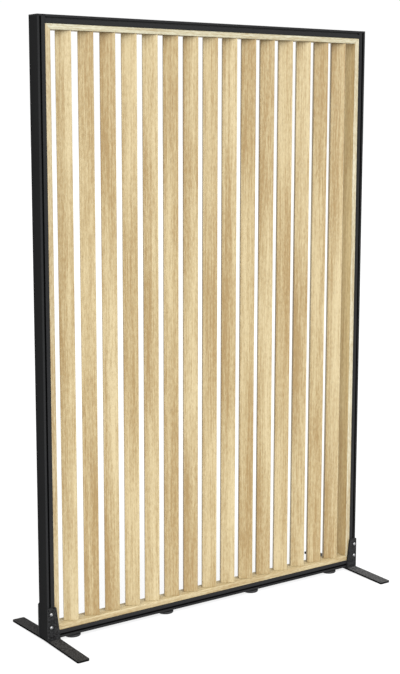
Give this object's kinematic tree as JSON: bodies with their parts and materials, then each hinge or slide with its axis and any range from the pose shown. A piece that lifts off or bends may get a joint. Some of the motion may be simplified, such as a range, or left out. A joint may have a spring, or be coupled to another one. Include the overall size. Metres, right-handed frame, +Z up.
{
  "type": "garden privacy screen",
  "caption": "Free-standing privacy screen: a slim black frame with angled upright timber slats, standing on flat steel feet.",
  "frame": {"origin": "on the floor under the middle of the screen", "axes": "+Z up, +X along the width of the screen, -Y its front"},
  "size_m": [1.2012, 0.402, 1.811],
  "materials": {
    "frame_black": "satin",
    "foot_black": "matte",
    "plastic_black": "matte",
    "hidden_metal": "satin",
    "screw_steel": "satin",
    "stem_steel": "satin",
    "slat_wood": "satin",
    "lining_wood_lying": "satin",
    "lining_wood_standing": "satin"
  },
  "bodies": {
    "screen": {"stile_left": "frame_black", "stile_right": "frame_black", "rail_top": "frame_black", "rail_bottom": "frame_black", "cap_left": "plastic_black", "cap_right": "plastic_black", "corner_key_1": "hidden_metal", "corner_key_2": "hidden_metal", "corner_key_3": "hidden_metal", "corner_key_4": "hidden_metal", "board_top": "lining_wood_lying", "board_bottom": "lining_wood_lying", "board_left": "lining_wood_standing", "board_right": "lining_wood_standing", "slat_01": "slat_wood", "slat_02": "slat_wood", "slat_03": "slat_wood", "slat_04": "slat_wood", "slat_05": "slat_wood", "slat_06": "slat_wood", "slat_07": "slat_wood", "slat_08": "slat_wood", "slat_09": "slat_wood", "slat_10": "slat_wood", "slat_11": "slat_wood", "slat_12": "slat_wood", "slat_13": "slat_wood", "slat_14": "slat_wood", "slat_15": "slat_wood", "foot_bar_left": "foot_black", "foot_plate_front_left": "foot_black", "slot_nut_front_left": "hidden_metal", "foot_screw_front_left_lower": "screw_steel", "foot_screw_front_left_upper": "screw_steel", "foot_plate_rear_left": "foot_black", "slot_nut_rear_left": "hidden_metal", "foot_screw_rear_left_lower": "screw_steel", "foot_screw_rear_left_upper": "screw_steel", "foot_bar_right": "foot_black", "foot_plate_front_right": "foot_black", "slot_nut_front_right": "hidden_metal", "foot_screw_front_right_lower": "screw_steel", "foot_screw_front_right_upper": "screw_steel", "foot_plate_rear_right": "foot_black", "slot_nut_rear_right": "hidden_metal", "foot_screw_rear_right_lower": "screw_steel", "foot_screw_rear_right_upper": "screw_steel", "glide_insert_1": "hidden_metal", "glide_insert_2": "hidden_metal", "glide_insert_3": "hidden_metal", "glide_insert_4": "hidden_metal"},
    "glide_1": {"glide_pad_1": "plastic_black"},
    "glide_screw_1": {"glide_stem_1": "stem_steel"},
    "glide_2": {"glide_pad_2": "plastic_black"},
    "glide_screw_2": {"glide_stem_2": "stem_steel"},
    "glide_3": {"glide_pad_3": "plastic_black"},
    "glide_screw_3": {"glide_stem_3": "stem_steel"},
    "glide_4": {"glide_pad_4": "plastic_black"},
    "glide_screw_4": {"glide_stem_4": "stem_steel"}
  },
  "joints": [
    {"name": "glide_1_height", "type": "slide", "parent": "screen", "child": "glide_1", "axis": [0, 0, -1], "range_m": [-0.0012, 0.01]},
    {"name": "glide_1_turn", "type": "hinge", "parent": "glide_1", "child": "glide_screw_1", "pos_m": [-0.5025, 0, 0.02], "axis": [0, 0, -1], "range_deg": [-346, 2881]},
    {"name": "glide_2_height", "type": "slide", "parent": "screen", "child": "glide_2", "axis": [0, 0, -1], "range_m": [-0.0012, 0.01]},
    {"name": "glide_2_turn", "type": "hinge", "parent": "glide_2", "child": "glide_screw_2", "pos_m": [-0.1675, 0, 0.02], "axis": [0, 0, -1], "range_deg": [-346, 2881]},
    {"name": "glide_3_height", "type": "slide", "parent": "screen", "child": "glide_3", "axis": [0, 0, -1], "range_m": [-0.0012, 0.01]},
    {"name": "glide_3_turn", "type": "hinge", "parent": "glide_3", "child": "glide_screw_3", "pos_m": [0.1675, 0, 0.02], "axis": [0, 0, -1], "range_deg": [-346, 2881]},
    {"name": "glide_4_height", "type": "slide", "parent": "screen", "child": "glide_4", "axis": [0, 0, -1], "range_m": [-0.0012, 0.01]},
    {"name": "glide_4_turn", "type": "hinge", "parent": "glide_4", "child": "glide_screw_4", "pos_m": [0.5025, 0, 0.02], "axis": [0, 0, -1], "range_deg": [-346, 2881]}
  ],
  "couplings": [
    {"joint": "glide_1_turn", "follows": "glide_1_height", "rad_per_m": 5026.5},
    {"joint": "glide_2_turn", "follows": "glide_2_height", "rad_per_m": 5026.5},
    {"joint": "glide_3_turn", "follows": "glide_3_height", "rad_per_m": 5026.5},
    {"joint": "glide_4_turn", "follows": "glide_4_height", "rad_per_m": 5026.5}
  ]
}
